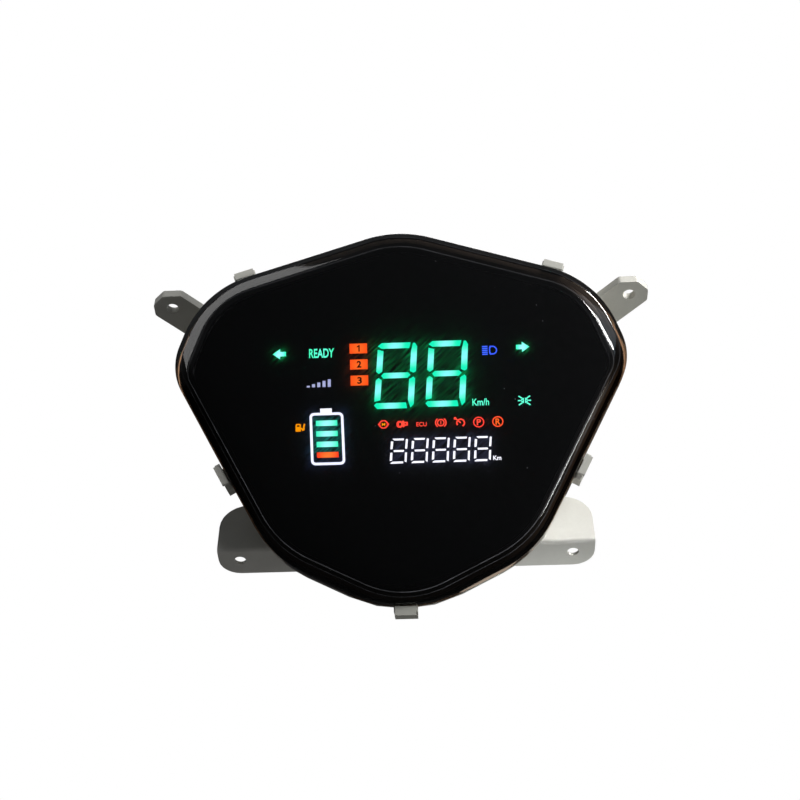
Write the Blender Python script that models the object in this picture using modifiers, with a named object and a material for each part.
"""Shield-shaped LED instrument cluster of an electric scooter, as an assembly of separate pieces.

Frame: the display stands upright and faces -Y, +X is its right-hand side and +Z its top.
All pieces hang on one empty, which puts the centre of the whole object's box at the origin.
Below that empty, y = 0 is the front face of the lens and y grows towards the back.
"""
import math

import bmesh
import bpy
from mathutils import Matrix, Vector

MM = 0.001

# Outline of the lens: corners of the right half, from the top apex round to the bottom apex
CORNERS = [(0 * MM, 83.3 * MM), (85 * MM, 57 * MM), (98 * MM, 21.5 * MM), (54.3 * MM, -60.4 * MM),
           (0 * MM, -86.9 * MM)]
CORNER_RADII = [48 * MM, 43 * MM, 24.5 * MM, 48 * MM, 53 * MM]
ARC_STEPS = 4

# Lens: a low crown with a steep outer slope and a wide bevel along the top and the shoulders
RIDGE_INSET = 3.5 * MM
RIDGE_Y = 1.8 * MM
EDGE_Y = 5.5 * MM
SKIRT_END_Y = 13 * MM
LENS_WALL = 2 * MM
TOP_BEVEL = 5 * MM
LOW_BEVEL = 1.2 * MM
EDGE_ROUND = 0.8 * MM

# Stack behind the lens
GAP = 0.3 * MM
FILM_THICK = 0.5 * MM
LIGHT_BOX_THICK = 7.3 * MM
BOARD_THICK = 1.6 * MM
FILM_INSET = 7 * MM
BOARD_INSET = 9 * MM
FILM_Y = LENS_WALL + GAP
DIFFUSER_Y = FILM_Y + FILM_THICK + GAP
LIGHT_BOX_Y = DIFFUSER_Y + FILM_THICK + GAP
BOARD_Y = LIGHT_BOX_Y + LIGHT_BOX_THICK + GAP
BOARD_BACK_Y = BOARD_Y + BOARD_THICK + GAP

# Rear case: a flange behind the lens, a tongue inside its skirt and a wedge-shaped tub
TONGUE_INSET = 2.6 * MM
TONGUE_WALL = 1.8 * MM
TONGUE_Y = 8 * MM
FLANGE_Y = SKIRT_END_Y + 1.6 * MM
FLANGE_THICK = 2 * MM
TUB_INSET = 12 * MM
TUB_DRAFT = 2 * MM
TUB_BACK_Y = 40 * MM
CASE_WALL = 2.5 * MM
CASE_SCREWS = [(-40 * MM, 47 * MM), (40 * MM, 47 * MM), (-50 * MM, -14 * MM), (50 * MM, -14 * MM)]
POST_RADIUS = 5.2 * MM
POCKET_RADIUS = 3.9 * MM
POCKET_END_Y = 18 * MM
SCREW_RADIUS = 1.5 * MM
VENT_PLACE = (-30 * MM, 12 * MM)
VENT_RADIUS = 4 * MM

# Connector in the back wall, and the lead from it to the board
PLUG_WIDTH = 24 * MM
PLUG_HEIGHT = 12 * MM
PLUG_Z = 10 * MM
DEPTH = 46.7 * MM
PIN_COLUMNS = 4
PIN_PITCH = 4.2 * MM

# Mounting planes: the ears and the bracket's lip lean this far down from the display's normal
MOUNT_TILT = math.radians(62)
EAR_HOLE = Vector((101 * MM, 24 * MM, 56.4 * MM))
EAR_HEAD_HIGH = 7.1 * MM
EAR_HEAD_OUT = 8.2 * MM
EAR_STRIP_HALF = 11.7 * MM
EAR_CORNER_RADIUS = 2.2 * MM
EAR_THICK = 4 * MM
EAR_HOLE_RADIUS = 2.75 * MM
FOOT_SCREWS = [(65 * MM, 39 * MM), (74 * MM, 33 * MM)]
BRACKET_HALF_WIDTH = 80 * MM
BRACKET_THICK = 1.5 * MM
BRACKET_FOLD = Vector((0, 28 * MM, -52.5 * MM))
SHELF_LENGTH = 25 * MM
SHELF_CORNER = 12 * MM
LIP_LENGTH = 15.5 * MM
LIP_CORNER = 9 * MM
LIP_HOLE = (70.8 * MM, 6.9 * MM)
LIP_HOLE_RADIUS = 2.5 * MM
BEND_RADIUS = 1.8 * MM
SHELF_SCREWS = [-36 * MM, 0 * MM, 36 * MM]
SHELF_SCREW_UP = 12 * MM

# Snap latches: a strap with a window for the barb, a head in front and its root on a lug of the case
LATCH_WIDTH = 9.5 * MM
LATCH_THICK = 2.2 * MM
LATCH_GAP = 0.4 * MM
LATCH_TIP_Y = 7.2 * MM
LATCH_ROOT_Y = 15.7 * MM
LATCH_PROUD = 3.5 * MM
BOTTOM_LATCH_PROUD = 4.2 * MM
LUG_DEPTH = 9 * MM
WINDOW_WIDTH = 6.2 * MM
WINDOW_START_Y = 9.4 * MM
WINDOW_LENGTH = 3.4 * MM
BARB_PROUD = 2 * MM

# Centre of the whole object's box, measured from the front face and the middle of the display
BOX_CENTRE = Vector((0, DEPTH / 2, -2.1 * MM))

COLOURS = {
    "smoked_lens": ((0.012, 0.010, 0.010), 0.06, 0.0),
    "light_abs": ((0.56, 0.55, 0.51), 0.45, 0.0),
    "painted_steel": ((0.62, 0.61, 0.57), 0.38, 0.2),
    "black_film": ((0.010, 0.010, 0.012), 0.5, 0.0),
    "diffuser": ((0.85, 0.85, 0.83), 0.6, 0.0),
    "white_plastic": ((0.80, 0.80, 0.78), 0.5, 0.0),
    "circuit_board": ((0.02, 0.16, 0.06), 0.4, 0.0),
    "chip_epoxy": ((0.03, 0.03, 0.035), 0.5, 0.0),
    "black_rubber": ((0.03, 0.03, 0.03), 0.8, 0.0),
    "zinc_screw": ((0.60, 0.60, 0.62), 0.3, 1.0),
    "tin_pin": ((0.75, 0.72, 0.62), 0.3, 1.0),
    "capacitor_sleeve": ((0.04, 0.05, 0.14), 0.35, 0.0),
    "dark_nylon": ((0.05, 0.05, 0.055), 0.5, 0.0),
}


# ---------------------------------------------------------------- scene helpers

def clear_scene():
    for obj in list(bpy.data.objects):
        bpy.data.objects.remove(obj)


def make_collection(name):
    collection = bpy.data.collections.new(name)
    bpy.context.scene.collection.children.link(collection)
    return collection


def make_material(name):
    colour, roughness, metallic = COLOURS[name]
    material = bpy.data.materials.new(name)
    material.use_nodes = True
    shader = material.node_tree.nodes["Principled BSDF"]
    shader.inputs["Base Color"].default_value = (*colour, 1)
    shader.inputs["Roughness"].default_value = roughness
    shader.inputs["Metallic"].default_value = metallic
    return material


def add_object(name, data, slot=None, matrix=None):
    """Links a piece to the assembly, or a cutter to the cutters when it has no material slot."""
    obj = bpy.data.objects.new(name, data)
    if slot:
        PIECES.objects.link(obj)
        obj.parent = CLUSTER
        data.materials.append(MATERIALS[slot])
    else:
        CUTTERS.objects.link(obj)
        obj.parent = CLUSTER
        obj.hide_render = True
        obj.display_type = "WIRE"
    if matrix:
        obj.matrix_local = matrix
    return obj


def combine(obj, operation, *tools):
    for tool in tools:
        modifier = obj.modifiers.new(operation.lower(), "BOOLEAN")
        modifier.operation = operation
        modifier.solver = "EXACT"
        modifier.object = tool
    return obj


def place(location, x_axis=(1, 0, 0), y_axis=(0, 1, 0)):
    """A placement whose local X and Y run along the two given directions."""
    x_axis = Vector(x_axis).normalized()
    z_axis = x_axis.cross(Vector(y_axis)).normalized()
    y_axis = z_axis.cross(x_axis)
    rotation = Matrix((x_axis, y_axis, z_axis)).transposed().to_4x4()
    return Matrix.Translation(Vector(location)) @ rotation


# ---------------------------------------------------------------- outlines

def meet(point_a, along_a, point_b, along_b):
    """Where two straight lines of the outline's plane cross."""
    cross = along_a.x * along_b.y - along_a.y * along_b.x
    gap = point_b - point_a
    return point_a + along_a * ((gap.x * along_b.y - gap.y * along_b.x) / cross)


def shield_corners(insets):
    """The outline's right-hand corners after each of its four sides moves in by its own distance."""
    corners = [Vector(corner) for corner in CORNERS]
    lines = []
    for start, end, inset in zip(corners, corners[1:], insets):
        along = (end - start).normalized()
        inward = Vector((along.y, -along.x))
        lines.append((start + inward * inset, along))
    mirrored = [(Vector((-p.x, p.y)), Vector((-a.x, a.y))) for p, a in lines]
    result = [meet(*mirrored[0], *lines[0])]
    result += [meet(*lines[i], *lines[i + 1]) for i in range(len(lines) - 1)]
    return result + [meet(*lines[-1], *mirrored[-1])]


def rounded(corners, radii, steps):
    """A closed outline through the corners, each rounded by an arc of its own radius."""
    points = []
    for index, corner in enumerate(corners):
        before = (corners[index - 1] - corner).normalized()
        after = (corners[(index + 1) % len(corners)] - corner).normalized()
        half = before.angle(after) / 2
        middle = (before + after).normalized()
        centre = corner + middle * (radii[index] / math.sin(half))
        start = corner + before * (radii[index] / math.tan(half)) - centre
        end = corner + after * (radii[index] / math.tan(half)) - centre
        turn = start.angle_signed(end)
        for step in range(steps + 1):
            angle = -turn * step / steps
            arm = Vector((start.x * math.cos(angle) - start.y * math.sin(angle),
                          start.x * math.sin(angle) + start.y * math.cos(angle)))
            points.append(centre + arm)
    return points


def shield(inset, top_extra=0.0, steps=ARC_STEPS):
    """The lens outline moved in by inset, and by top_extra more along the top and the shoulders."""
    top = inset + top_extra
    right = shield_corners([top, top, inset, inset])
    moved = [top, top, inset + top_extra / 2, inset, inset]
    radii = [radius - move for radius, move in zip(CORNER_RADII, moved)]
    left = [Vector((-corner.x, corner.y)) for corner in right[-2:0:-1]]
    return rounded(right + left, radii + radii[-2:0:-1], steps)


# ---------------------------------------------------------------- shapes

def loft(name, sections, slot=None, matrix=None):
    """One closed body through sections that all have the same number of points, capped at both ends."""
    bm = bmesh.new()
    rings = [[bm.verts.new(point) for point in section] for section in sections]
    for ring, following in zip(rings, rings[1:]):
        for i in range(len(ring)):
            k = (i + 1) % len(ring)
            bm.faces.new((ring[i], ring[k], following[k], following[i]))
    bm.faces.new(rings[0])
    bm.faces.new(rings[-1])
    bmesh.ops.recalc_face_normals(bm, faces=bm.faces)
    mesh = bpy.data.meshes.new(name)
    bm.to_mesh(mesh)
    bm.free()
    return add_object(name, mesh, slot, matrix)


def at_depth(outline, y):
    return [(point.x, y, point.y) for point in outline]


def plate(name, outlines, front_y, thickness, slot):
    """A flat sheet parallel to the display, from one outer outline and any hole outlines."""
    curve = bpy.data.curves.new(name, "CURVE")
    curve.dimensions = "2D"
    curve.fill_mode = "BOTH"
    curve.extrude = thickness / 2
    for outline in outlines:
        spline = curve.splines.new("POLY")
        spline.points.add(len(outline) - 1)
        spline.use_cyclic_u = True
        for point, place_ in zip(spline.points, outline):
            point.co = (place_[0], place_[1], 0, 1)
    centre = (0, front_y + thickness / 2, 0)
    return add_object(name, curve, slot, place(centre, (1, 0, 0), (0, 0, 1)))


def box(name, size, centre, slot=None, x_axis=(1, 0, 0), y_axis=(0, 1, 0), bevel=0.0):
    bm = bmesh.new()
    bmesh.ops.create_cube(bm, size=1)
    bmesh.ops.scale(bm, vec=size, verts=bm.verts)
    mesh = bpy.data.meshes.new(name)
    bm.to_mesh(mesh)
    bm.free()
    obj = add_object(name, mesh, slot, place(centre, x_axis, y_axis))
    if bevel:
        modifier = obj.modifiers.new("bevel", "BEVEL")
        modifier.width = bevel
        modifier.segments = 2
    return obj


def rod(name, radius, start, end, slot=None, sides=20):
    """A cylinder from one point to another."""
    start, end = Vector(start), Vector(end)
    along = end - start
    bm = bmesh.new()
    bmesh.ops.create_cone(bm, cap_ends=True, segments=sides, radius1=radius, radius2=radius,
                          depth=along.length)
    mesh = bpy.data.meshes.new(name)
    bm.to_mesh(mesh)
    bm.free()
    turn = along.to_track_quat("Z", "Y").to_matrix().to_4x4()
    return add_object(name, mesh, slot, Matrix.Translation((start + end) / 2) @ turn)


def turned(name, profile, base, axis, slot, sides=18):
    """A turned piece: profile is (radius, height) from its top on the axis to its foot on the axis."""
    mesh = bpy.data.meshes.new(name)
    points = [(radius, 0, height) for radius, height in profile]
    mesh.from_pydata(points, [(i, i + 1) for i in range(len(points) - 1)], [])
    turn = Vector(axis).to_track_quat("Z", "Y").to_matrix().to_4x4()
    obj = add_object(name, mesh, slot, Matrix.Translation(Vector(base)) @ turn)
    screw = obj.modifiers.new("turn", "SCREW")
    screw.steps = sides
    screw.render_steps = sides
    screw.use_merge_vertices = True
    screw.merge_threshold = 1e-5
    screw.use_smooth_shade = True
    return obj


def pan_screw(name, seat, axis, length, head_radius=2.9 * MM, radius=SCREW_RADIUS):
    """A pan-head screw: the head's underside is at seat, and the head looks along axis."""
    head = 2.1 * MM
    profile = [(0, head), (head_radius * 0.6, head), (head_radius, head * 0.45), (head_radius, 0),
               (radius, 0), (radius, -length + radius), (radius * 0.3, -length), (0, -length)]
    return turned(name, profile, seat, axis, "zinc_screw")


# ---------------------------------------------------------------- lens and display stack

def latch_stations():
    """Name, foot on the outline and outward direction of each of the five latches."""
    corners = [Vector(corner) for corner in CORNERS]
    stations = []
    for name, start, end, share in (("top", corners[0], corners[1], 0.78),
                                    ("side", corners[2], corners[3], 0.555)):
        along = (end - start).normalized()
        outward = Vector((-along.y, along.x))
        foot = start.lerp(end, share)
        for side, sign in (("left", -1), ("right", 1)):
            stations.append((f"latch_{name}_{side}", Vector((sign * foot.x, foot.y)),
                             Vector((sign * outward.x, outward.y))))
    lowest = min(point.y for point in shield(0))
    stations.append(("latch_bottom", Vector((0, lowest)), Vector((0, -1))))
    return stations


def latch_frame(foot, outward, out, y):
    """Placement beside the skirt: local X runs along the rim, local Y outward, local Z along y."""
    centre = foot + outward * out
    along = (-outward.y, 0, outward.x)
    return (centre.x, y, centre.y), along, (outward.x, 0, outward.y)


def build_lens():
    wall = LENS_WALL
    inner_bevel = TOP_BEVEL - LOW_BEVEL
    sections = [
        at_depth(shield(RIDGE_INSET + LOW_BEVEL, inner_bevel), 0),
        at_depth(shield(RIDGE_INSET), RIDGE_Y),
        at_depth(shield(EDGE_ROUND * 0.3), EDGE_Y),
        at_depth(shield(0), EDGE_Y + EDGE_ROUND),
        at_depth(shield(0), SKIRT_END_Y),
        at_depth(shield(wall), SKIRT_END_Y),
        at_depth(shield(wall), EDGE_Y + wall * 0.9),
        at_depth(shield(RIDGE_INSET + wall), RIDGE_Y + wall),
        at_depth(shield(RIDGE_INSET + LOW_BEVEL + wall * 0.7, inner_bevel), wall),
    ]
    lens = loft("lens", sections, "smoked_lens")
    for name, foot, outward in latch_stations():
        sink = 1 * MM
        out = (BARB_PROUD - sink) / 2
        y = WINDOW_START_Y + WINDOW_LENGTH / 2
        centre, along, away = latch_frame(foot, outward, out, y)
        size = (WINDOW_WIDTH - 1 * MM, BARB_PROUD + sink, WINDOW_LENGTH - 0.8 * MM)
        combine(lens, "UNION", box(f"barb_for_{name}", size, centre, None, along, away))
    return lens


def rectangle(x, z, width, height, lean=0.0):
    """Four corners of an upright box, whose top leans to the right by lean."""
    left, right = x - width / 2, x + width / 2
    low, high = z - height / 2, z + height / 2
    return [(left, low), (left + lean, high), (right + lean, high), (right, low)]


def seven_segments(x, z, width, height, stroke):
    """Seven cavities of one digit, centred at x, z."""
    gap = stroke * 0.25
    side_height = height / 2 - stroke - gap
    bar_width = width - 2 * stroke - gap
    bars = [rectangle(x, z + row * (height - stroke) / 2, bar_width, stroke) for row in (-1, 0, 1)]
    posts = [rectangle(x + side * (width - stroke) / 2, z + row * (height / 4), stroke, side_height)
             for side in (-1, 1) for row in (-1, 1)]
    return bars + posts


def light_cavities():
    """Outlines of the light wells behind the digits, the battery gauge and the tell-tales."""
    wells = []
    for x in (-1.8 * MM, 19.6 * MM):
        wells += seven_segments(x, 14.7 * MM, 17.5 * MM, 28.5 * MM, 3.2 * MM)
    for digit in range(5):
        wells.append(rectangle((-1.2 + 8.65 * digit) * MM, -17.8 * MM, 7 * MM, 10.5 * MM))
    for bar in range(4):
        wells.append(rectangle(-30.9 * MM, (-5.4 - 4.6 * bar) * MM, 10 * MM, 3.4 * MM))
    for row in range(3):
        wells.append(rectangle(-17.4 * MM, (27.2 - 7.1 * row) * MM, 7.4 * MM, 5.2 * MM))
    for column in range(7):
        wells.append(rectangle((-7.6 + 7.95 * column) * MM, -6.7 * MM, 6.6 * MM, 5.6 * MM))
    for x, z, width in ((-51, 25.6, 8), (51.5, 25.6, 8), (-33, 26, 12), (-33.5, 12.5, 13),
                        (38, 25.5, 8), (34.5, 2.7, 8.5), (52.5, 3.2, 7), (-42.5, -6.2, 6)):
        wells.append(rectangle(x * MM, z * MM, width * MM, 5.4 * MM))
    return wells


def circle(x, z, radius, sides=16):
    turn = 2 * math.pi / sides
    return [(x + radius * math.cos(i * turn), z + radius * math.sin(i * turn)) for i in range(sides)]


def build_display_stack():
    film_outline = shield(FILM_INSET, TOP_BEVEL - LOW_BEVEL)
    plate("display_film", [film_outline], FILM_Y, FILM_THICK, "black_film")
    plate("diffuser_sheet", [film_outline], DIFFUSER_Y, FILM_THICK, "diffuser")
    holes = [circle(x, z, SCREW_RADIUS + GAP, 12) for x, z in CASE_SCREWS]
    box_outlines = [shield(FILM_INSET + GAP)] + light_cavities() + holes
    plate("light_box", box_outlines, LIGHT_BOX_Y, LIGHT_BOX_THICK, "white_plastic")
    plate("main_board", [shield(BOARD_INSET)] + holes, BOARD_Y, BOARD_THICK, "circuit_board")
    plate("gasket_ring", [shield(0.6 * MM), shield(TONGUE_INSET - GAP)], SKIRT_END_Y + GAP,
          FLANGE_Y - SKIRT_END_Y - 2 * GAP, "black_rubber")


def build_board_parts():
    """Electronic parts soldered to the back of the board."""
    for name, x, z, width, height, tall, slot in (
            ("microcontroller", 18, 18, 12, 12, 1.5, "chip_epoxy"),
            ("led_driver_left", -12, 24, 10, 6, 1.8, "chip_epoxy"),
            ("led_driver_right", 4, -6, 10, 6, 1.8, "chip_epoxy"),
            ("voltage_regulator", -46, 24, 10, 9, 4.5, "chip_epoxy"),
            ("power_inductor", -46, 8, 10, 10, 5, "chip_epoxy"),
            ("input_diode", -30, 34, 7, 4, 2.4, "chip_epoxy"),
            ("crystal", 34, 14, 4, 10, 3.2, "tin_pin"),
            ("board_socket", 22, -14, 16, 6, 7, "white_plastic")):
        size = (width * MM, tall * MM, height * MM)
        centre = (x * MM, BOARD_BACK_Y + tall * MM / 2, z * MM)
        box(name, size, centre, slot, bevel=0.3 * MM)
    for name, x in (("filter_capacitor_left", -62), ("filter_capacitor_right", 60)):
        radius, tall = 4 * MM, 12 * MM
        foot = (x * MM, BOARD_BACK_Y, 16 * MM)
        profile = [(0, tall), (radius * 0.9, tall), (radius, tall * 0.95), (radius, tall * 0.12),
                   (radius * 0.9, tall * 0.08), (radius * 0.9, 0), (0, 0)]
        turned(name, profile, foot, (0, 1, 0), "capacitor_sleeve")


# ---------------------------------------------------------------- rear case

def shelf_direction():
    """Along the bracket's shelf, from its fold up and back."""
    return Vector((0, math.cos(MOUNT_TILT), math.sin(MOUNT_TILT)))


def shelf_normal():
    """Out of the shelf's front side, towards the case."""
    return Vector((0, -math.sin(MOUNT_TILT), math.cos(MOUNT_TILT)))


def lip_direction():
    """Along the lip and the ears, down and back; the mounting planes' own steepest line."""
    return Vector((0, math.sin(MOUNT_TILT), -math.cos(MOUNT_TILT)))


def mount_normal():
    """Out of the ears' and the lip's front side."""
    return Vector((0, -math.cos(MOUNT_TILT), -math.sin(MOUNT_TILT)))


def slope_cutter(name, lift):
    """A block behind the case's sloping lower back, whose front side lies lift above the shelf."""
    reach = 160 * MM
    centre = BRACKET_FOLD + shelf_normal() * (lift - reach / 2)
    return box(name, (2 * reach, reach, 2 * reach), centre, None, (1, 0, 0), -shelf_normal())


def build_rear_case():
    flange_back = FLANGE_Y + FLANGE_THICK
    tub_end = TUB_INSET + TUB_DRAFT
    case = loft("rear_case", [
        at_depth(shield(TONGUE_INSET), TONGUE_Y),
        at_depth(shield(TONGUE_INSET), FLANGE_Y),
        at_depth(shield(0), FLANGE_Y),
        at_depth(shield(0), flange_back),
    ], "light_abs")
    tub = loft("case_tub", [
        at_depth(shield(TUB_INSET), FLANGE_Y + FLANGE_THICK / 2),
        at_depth(shield(tub_end), TUB_BACK_Y - 2 * MM),
        at_depth(shield(tub_end + 2 * MM), TUB_BACK_Y),
    ])
    hollow = loft("case_hollow", [
        at_depth(shield(TONGUE_INSET + TONGUE_WALL), TONGUE_Y - 2 * MM),
        at_depth(shield(TONGUE_INSET + TONGUE_WALL), FLANGE_Y - 0.2 * MM),
        at_depth(shield(TUB_INSET + CASE_WALL), FLANGE_Y - 0.1 * MM),
        at_depth(shield(tub_end + CASE_WALL), TUB_BACK_Y - CASE_WALL),
    ])
    combine(tub, "DIFFERENCE", slope_cutter("tub_slope", GAP))
    combine(hollow, "DIFFERENCE", slope_cutter("hollow_slope", GAP + CASE_WALL))
    combine(case, "UNION", tub)
    combine(case, "DIFFERENCE", hollow)
    add_lugs(case)
    add_posts(case)
    add_openings(case)
    return case


def add_lugs(case):
    """Blocks behind the flange that carry the roots of the latches."""
    for name, foot, outward in latch_stations():
        inner, outer = -6 * MM, LATCH_GAP + LATCH_THICK + 0.4 * MM
        y = LATCH_ROOT_Y + GAP + LUG_DEPTH / 2
        centre, along, away = latch_frame(foot, outward, (inner + outer) / 2, y)
        size = (LATCH_WIDTH, outer - inner, LUG_DEPTH)
        combine(case, "UNION", box(f"lug_for_{name}", size, centre, None, along, away))


def add_posts(case):
    """Screw posts for the board, the ears' feet and the bracket, each with its hole."""
    wall_inside = TUB_BACK_Y - CASE_WALL
    for index, (x, z) in enumerate(CASE_SCREWS):
        post = rod(f"case_post_{index}", POST_RADIUS, (x, BOARD_BACK_Y, z), (x, wall_inside + 1 * MM, z))
        pocket = rod(f"case_pocket_{index}", POCKET_RADIUS, (x, POCKET_END_Y, z),
                     (x, TUB_BACK_Y + 5 * MM, z))
        hole = rod(f"case_hole_{index}", SCREW_RADIUS + GAP, (x, TONGUE_Y, z), (x, TUB_BACK_Y, z))
        combine(case, "UNION", post)
        combine(case, "DIFFERENCE", pocket, hole)
    reach = 7 * MM
    for index, (x, z) in enumerate(FOOT_SCREWS * 2):
        x = x if index < len(FOOT_SCREWS) else -x
        post = rod(f"foot_post_{index}", 3.4 * MM, (x, wall_inside - reach, z), (x, wall_inside + 1 * MM, z))
        hole = rod(f"foot_hole_{index}", SCREW_RADIUS + GAP, (x, wall_inside - reach + 1 * MM, z),
                   (x, TUB_BACK_Y + 5 * MM, z))
        combine(case, "UNION", post)
        combine(case, "DIFFERENCE", hole)
    for index, x in enumerate(SHELF_SCREWS):
        seat = BRACKET_FOLD + shelf_direction() * SHELF_SCREW_UP + Vector((x, 0, 0))
        inside = shelf_normal() * (GAP + CASE_WALL)
        post = rod(f"shelf_post_{index}", 3.4 * MM, seat + inside - shelf_normal() * 1 * MM,
                   seat + inside + shelf_normal() * reach)
        hole = rod(f"shelf_hole_{index}", SCREW_RADIUS + GAP, seat - shelf_normal() * 5 * MM,
                   seat + inside + shelf_normal() * (reach - 1 * MM))
        combine(case, "UNION", post)
        combine(case, "DIFFERENCE", hole)


def add_openings(case):
    """The connector's window and the vent's hole in the back wall."""
    window = box("plug_window", (PLUG_WIDTH + 2 * GAP, 20 * MM, PLUG_HEIGHT + 2 * GAP),
                 (0, TUB_BACK_Y, PLUG_Z))
    x, z = VENT_PLACE
    vent = rod("vent_hole", VENT_RADIUS, (x, TUB_BACK_Y - 10 * MM, z), (x, TUB_BACK_Y + 5 * MM, z))
    combine(case, "DIFFERENCE", window, vent)


# ---------------------------------------------------------------- latches, ears and bracket

def build_latches():
    """Five snap latches, each with its origin on the line along the rim where it flexes."""
    length = LATCH_ROOT_Y - LATCH_TIP_Y
    for name, foot, outward in latch_stations():
        hinge_out = LATCH_GAP + LATCH_THICK / 2
        centre, along, away = latch_frame(foot, outward, hinge_out, LATCH_ROOT_Y)
        root = place(centre, along, away)
        forward = -1 if root.to_3x3().col[2].y > 0 else 1
        arm = box(name, (LATCH_WIDTH, LATCH_THICK, length), (0, 0, 0), "light_abs")
        arm.data.transform(Matrix.Translation((0, 0, forward * length / 2)))
        arm.matrix_local = root
        proud = BOTTOM_LATCH_PROUD if name == "latch_bottom" else LATCH_PROUD
        head_length = WINDOW_START_Y - LATCH_TIP_Y - 0.4 * MM
        head_out = (proud + LATCH_GAP + 0.2 * MM) / 2
        head_centre, _, _ = latch_frame(foot, outward, head_out, LATCH_TIP_Y + head_length / 2)
        head_size = (LATCH_WIDTH - 1 * MM, proud - LATCH_GAP - 0.2 * MM, head_length + 0.6 * MM)
        head = box(f"head_of_{name}", head_size, head_centre, None, along, away)
        window_y = WINDOW_START_Y + WINDOW_LENGTH / 2
        window_centre, _, _ = latch_frame(foot, outward, hinge_out, window_y)
        window = box(f"window_of_{name}", (WINDOW_WIDTH, 4 * LATCH_THICK, WINDOW_LENGTH),
                     window_centre, None, along, away)
        combine(arm, "UNION", head)
        combine(arm, "DIFFERENCE", window)


def ear_outline(sign, reach):
    """The ear in its own plane: a chamfered head about the hole, and a strip going inboard and back."""
    high, out, edge = EAR_HEAD_HIGH, EAR_HEAD_OUT, EAR_STRIP_HALF
    chamfer = 4.8 * MM
    corners = [(high - edge, -high), (out - chamfer, -high), (out, chamfer - high), (out, edge - out),
               (edge - reach, reach), (-edge - reach, reach)]
    corners = [Vector(corner) for corner in corners]
    radii = [EAR_CORNER_RADIUS] * 4 + [0.1 * MM] * 2
    return [(sign * point.x, point.y) for point in rounded(corners[::-1], radii[::-1], ARC_STEPS)]


def build_ears():
    bend = (TUB_BACK_Y + GAP - EAR_HOLE.y) / math.sin(MOUNT_TILT)
    bend_z = EAR_HOLE.z - bend * math.cos(MOUNT_TILT)
    foot_low = 27 * MM
    for side, sign in (("left", -1), ("right", 1)):
        hole = Vector((sign * EAR_HOLE.x, EAR_HOLE.y, EAR_HOLE.z))
        sections = []
        for depth in (0, EAR_THICK):
            base = hole - mount_normal() * depth
            sections.append([base + Vector((x, 0, 0)) + lip_direction() * along
                             for x, along in ear_outline(sign, bend + 1.6 * MM)])
        ear = loft(f"ear_{side}", sections, "light_abs")
        top = bend_z + 2.2 * MM
        width = 34 * MM
        centre = (sign * (EAR_HOLE.x - 6 * MM - width / 2 - 3 * MM), TUB_BACK_Y + GAP + EAR_THICK / 2,
                  (top + foot_low) / 2)
        foot = box(f"foot_of_ear_{side}", (width, EAR_THICK, top - foot_low), centre)
        combine(ear, "UNION", foot)
        combine(ear, "DIFFERENCE", rod(f"bolt_hole_{side}", EAR_HOLE_RADIUS,
                                       hole - mount_normal() * 20 * MM, hole + mount_normal() * 20 * MM))
        for index, (x, z) in enumerate(FOOT_SCREWS):
            drill = rod(f"foot_drill_{side}_{index}", SCREW_RADIUS + GAP,
                        (sign * x, TUB_BACK_Y - 5 * MM, z), (sign * x, TUB_BACK_Y + 10 * MM, z))
            combine(ear, "DIFFERENCE", drill)
            seat = (sign * x, TUB_BACK_Y + EAR_THICK + 2 * GAP, z)
            pan_screw(f"ear_screw_{side}_{index + 1}", seat, (0, 1, 0), 10 * MM)


def corner_drop(x, radius):
    """How far a rounded corner of the bracket pulls its edge back at x."""
    past = abs(x) - (BRACKET_HALF_WIDTH - radius)
    return radius - math.sqrt(max(radius ** 2 - max(past, 0) ** 2, 0))


def bracket_stations():
    """Stations across the bracket, close together round its corners."""
    half = []
    for radius in (LIP_CORNER, SHELF_CORNER):
        half += [BRACKET_HALF_WIDTH - radius * (1 - math.sin(math.radians(15 * i))) for i in range(7)]
    half = sorted(set(round(x, 6) for x in half))
    return [-x for x in reversed(half)] + half


def bracket_section(x):
    """The bent sheet cut across at x: shelf, bend and lip, with the sheet's thickness behind."""
    shelf = SHELF_LENGTH - corner_drop(x, SHELF_CORNER)
    lip = LIP_LENGTH - corner_drop(x, LIP_CORNER)
    centre = (BRACKET_FOLD + shelf_direction() * BEND_RADIUS + lip_direction() * BEND_RADIUS)
    front, back = [BRACKET_FOLD + shelf_direction() * shelf], []
    back.append(front[0] - shelf_normal() * BRACKET_THICK)
    for step in range(5):
        angle = math.radians(90 * step / 4)
        arm = shelf_normal() * math.cos(angle) + mount_normal() * math.sin(angle)
        front.append(centre + arm * BEND_RADIUS)
        back.append(centre + arm * (BEND_RADIUS - BRACKET_THICK))
    front.append(BRACKET_FOLD + lip_direction() * lip)
    back.append(front[-1] - mount_normal() * BRACKET_THICK)
    return [point + Vector((x, 0, 0)) for point in front + back[::-1]]


def build_bracket():
    bracket = loft("bottom_bracket", [bracket_section(x) for x in bracket_stations()], "painted_steel")
    hole_x, hole_along = LIP_HOLE
    for side, sign in (("left", -1), ("right", 1)):
        hole = BRACKET_FOLD + lip_direction() * hole_along + Vector((sign * hole_x, 0, 0))
        combine(bracket, "DIFFERENCE", rod(f"lip_hole_{side}", LIP_HOLE_RADIUS,
                                           hole - mount_normal() * 6 * MM, hole + mount_normal() * 6 * MM))
    for index, x in enumerate(SHELF_SCREWS):
        seat = BRACKET_FOLD + shelf_direction() * SHELF_SCREW_UP + Vector((x, 0, 0))
        combine(bracket, "DIFFERENCE", rod(f"shelf_drill_{index}", SCREW_RADIUS + GAP,
                                           seat - shelf_normal() * 6 * MM, seat + shelf_normal() * 6 * MM))
        pan_screw(f"bracket_screw_{index + 1}", seat - shelf_normal() * (BRACKET_THICK + GAP),
                  -shelf_normal(), 9 * MM)


# ---------------------------------------------------------------- connector, vent and screws

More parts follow.
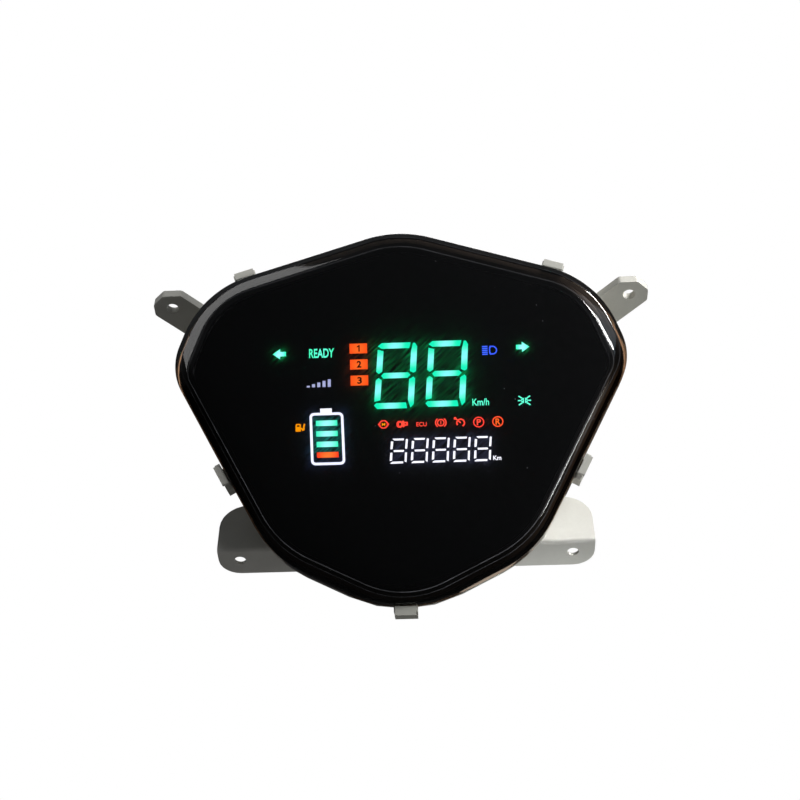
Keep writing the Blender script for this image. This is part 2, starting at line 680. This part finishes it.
def build_connector():
    """Connector socket in the back wall, its contacts and seal, and the lead to the board."""
    front, back = TUB_BACK_Y - 9 * MM, DEPTH
    housing = box("connector_housing", (PLUG_WIDTH, back - front, PLUG_HEIGHT),
                  (0, (front + back) / 2, PLUG_Z), "dark_nylon")
    seal_y = TUB_BACK_Y + GAP
    collar = box("connector_collar", (PLUG_WIDTH + 6 * MM, 1.6 * MM, PLUG_HEIGHT + 6 * MM),
                 (0, seal_y + 1.2 * MM + GAP + 0.8 * MM, PLUG_Z))
    wall = 1.6 * MM
    mouth_floor = TUB_BACK_Y - 5 * MM
    mouth = box("connector_mouth", (PLUG_WIDTH - 2 * wall, 2 * (back - mouth_floor), PLUG_HEIGHT - 2 * wall),
                (0, back, PLUG_Z))
    combine(housing, "UNION", collar)
    combine(housing, "DIFFERENCE", mouth)
    seal = box("connector_seal", (PLUG_WIDTH + 5 * MM, 1.2 * MM, PLUG_HEIGHT + 5 * MM),
               (0, seal_y + 0.6 * MM, PLUG_Z), "black_rubber")
    opening = box("seal_opening", (PLUG_WIDTH + 2 * GAP, 5 * MM, PLUG_HEIGHT + 2 * GAP),
                  (0, seal_y, PLUG_Z))
    combine(seal, "DIFFERENCE", opening)
    side = 0.8 * MM
    for row in range(2):
        for column in range(PIN_COLUMNS):
            x = (column - (PIN_COLUMNS - 1) / 2) * PIN_PITCH
            z = PLUG_Z + (row - 0.5) * 4 * MM
            number = row * PIN_COLUMNS + column + 1
            pin_start, pin_end = front - 3 * MM, TUB_BACK_Y + 1 * MM
            box(f"connector_pin_{number}", (side, pin_end - pin_start, side),
                (x, (pin_start + pin_end) / 2, z), "tin_pin")
            slot = box(f"pin_slot_{number}", (side + 2 * GAP, 30 * MM, side + 2 * GAP),
                       (x, TUB_BACK_Y - 5 * MM, z))
            combine(housing, "DIFFERENCE", slot)


def build_inner_lead():
    """The bundle of wires inside the case, from behind the connector to the socket on the board."""
    start = Vector((22 * MM, BOARD_BACK_Y + 7 * MM + GAP, -14 * MM))
    end = Vector((0, TUB_BACK_Y - 9 * MM - 3 * MM - 2 * GAP, PLUG_Z))
    away = Vector((0, 2 * MM, 0))
    points = [start, start + away, Vector((17 * MM, 24.4 * MM, -7 * MM)),
              Vector((6 * MM, 24.4 * MM, 4 * MM)), end - away, end]
    curve = bpy.data.curves.new("inner_lead", "CURVE")
    curve.dimensions = "3D"
    curve.bevel_depth = 2 * MM
    curve.bevel_resolution = 2
    curve.use_fill_caps = True
    spline = curve.splines.new("POLY")
    spline.points.add(len(points) - 1)
    for point, spot in zip(spline.points, points):
        point.co = (*spot, 1)
    add_object("inner_lead", curve, "black_rubber")


def build_fasteners():
    x, z = VENT_PLACE
    radius = VENT_RADIUS - GAP
    cap = VENT_RADIUS + 2.5 * MM
    profile = [(0, 2 * MM), (cap * 0.8, 2 * MM), (cap, 1.2 * MM), (cap, 0), (radius, 0),
               (radius, -4 * MM), (0, -4 * MM)]
    turned("vent_plug", profile, (x, TUB_BACK_Y + GAP, z), (0, 1, 0), "dark_nylon")
    length = POCKET_END_Y - LIGHT_BOX_Y - 1 * MM
    for index, (x, z) in enumerate(CASE_SCREWS):
        pan_screw(f"case_screw_{index + 1}", (x, POCKET_END_Y + GAP, z), (0, 1, 0), length, 3.2 * MM)


clear_scene()
PIECES = make_collection("instrument_cluster")
CUTTERS = make_collection("cutters")
MATERIALS = {name: make_material(name) for name in COLOURS}
CLUSTER = bpy.data.objects.new("cluster_frame", None)
PIECES.objects.link(CLUSTER)
CLUSTER.location = -BOX_CENTRE
build_lens()
build_display_stack()
build_board_parts()
build_rear_case()
build_latches()
build_ears()
build_bracket()
build_connector()
build_inner_lead()
build_fasteners()
